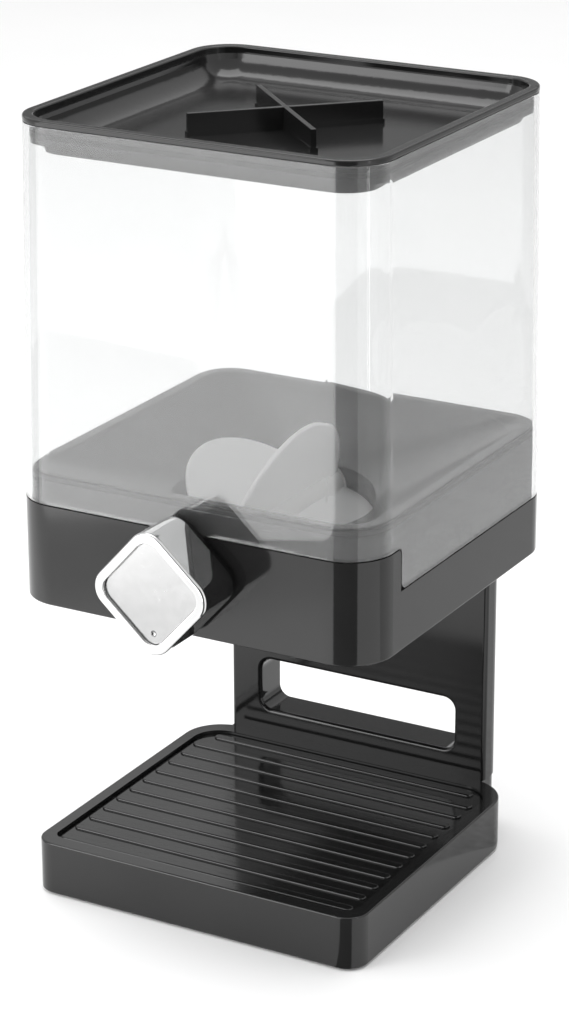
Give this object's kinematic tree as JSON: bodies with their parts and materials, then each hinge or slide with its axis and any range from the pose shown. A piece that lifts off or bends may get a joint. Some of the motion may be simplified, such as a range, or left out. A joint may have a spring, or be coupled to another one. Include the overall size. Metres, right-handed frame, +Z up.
{
  "type": "cereal dispenser",
  "caption": "Countertop dry-food dispenser: clear square canister with lid on a black column and base, with a turning knob that drives a soft paddle wheel over an outlet.",
  "frame": {"origin": "on the ground plane, under the centre of the overall bounding box", "axes": "+Z up; -Y towards the front, where the knob is; +X to the right when facing the knob"},
  "size_m": [0.196, 0.227, 0.394],
  "materials": {
    "black_plastic": "polished black moulding",
    "black_satin": "satin black moulding",
    "black_matte": "matt black moulding",
    "clear_plastic": "clear, polished",
    "silicone": "translucent white silicone",
    "white_plastic": "natural white, smooth",
    "chrome_plate": "bright chrome plating",
    "silver_plate": "fine satin silver",
    "steel": "zinc-plated screw",
    "rubber_pad": "soft black rubber",
    "black_seal": "soft black silicone"
  },
  "bodies": {
    "stand": {"base_shell": "black_plastic", "base_plate": "black_matte", "base_plate_screws": "steel", "foot_1": "rubber_pad", "foot_2": "rubber_pad", "foot_3": "rubber_pad", "foot_4": "rubber_pad", "column_front": "black_plastic", "column_cover": "black_matte", "column_cover_screws": "steel", "column_foot_screws": "steel", "housing": "black_plastic", "housing_screws": "steel", "outlet_chute": "black_satin", "chute_screws": "steel"},
    "canister_unit": {"canister": "clear_plastic", "hopper": "black_satin", "hopper_seal": "black_seal", "front_bush": "white_plastic", "rear_bush": "white_plastic"},
    "wheel": {"wheel_hub": "white_plastic", "paddle_1": "silicone", "paddle_2": "silicone", "paddle_3": "silicone", "paddle_4": "silicone", "paddle_5": "silicone"},
    "knob": {"drive_shaft": "black_matte", "knob_cap": "chrome_plate", "knob_plate": "silver_plate", "knob_core": "black_satin", "knob_screw": "steel"},
    "lid_unit": {"lid": "black_plastic", "lid_grip": "black_plastic", "lid_seal": "black_seal"},
    "tray": {"crumb_tray": "black_satin"}
  },
  "joints": [
    {"name": "canister_lift", "type": "slide", "parent": "stand", "child": "canister_unit", "axis": [0, 0, 1], "range_m": [0, 0.2]},
    {"name": "lid_lift", "type": "slide", "parent": "canister_unit", "child": "lid_unit", "axis": [0, 0, 1], "range_m": [0, 0.06]},
    {"name": "wheel_turn", "type": "hinge", "parent": "canister_unit", "child": "wheel", "pos_m": [0, 0.0065, 0.188], "axis": [0, 1, 0], "continuous": true},
    {"name": "knob_pull", "type": "slide", "parent": "wheel", "child": "knob", "axis": [0, -1, 0], "range_m": [0, 0.15]},
    {"name": "tray_lift", "type": "slide", "parent": "stand", "child": "tray", "axis": [0, 0, 1], "range_m": [0, 0.03]}
  ]
}
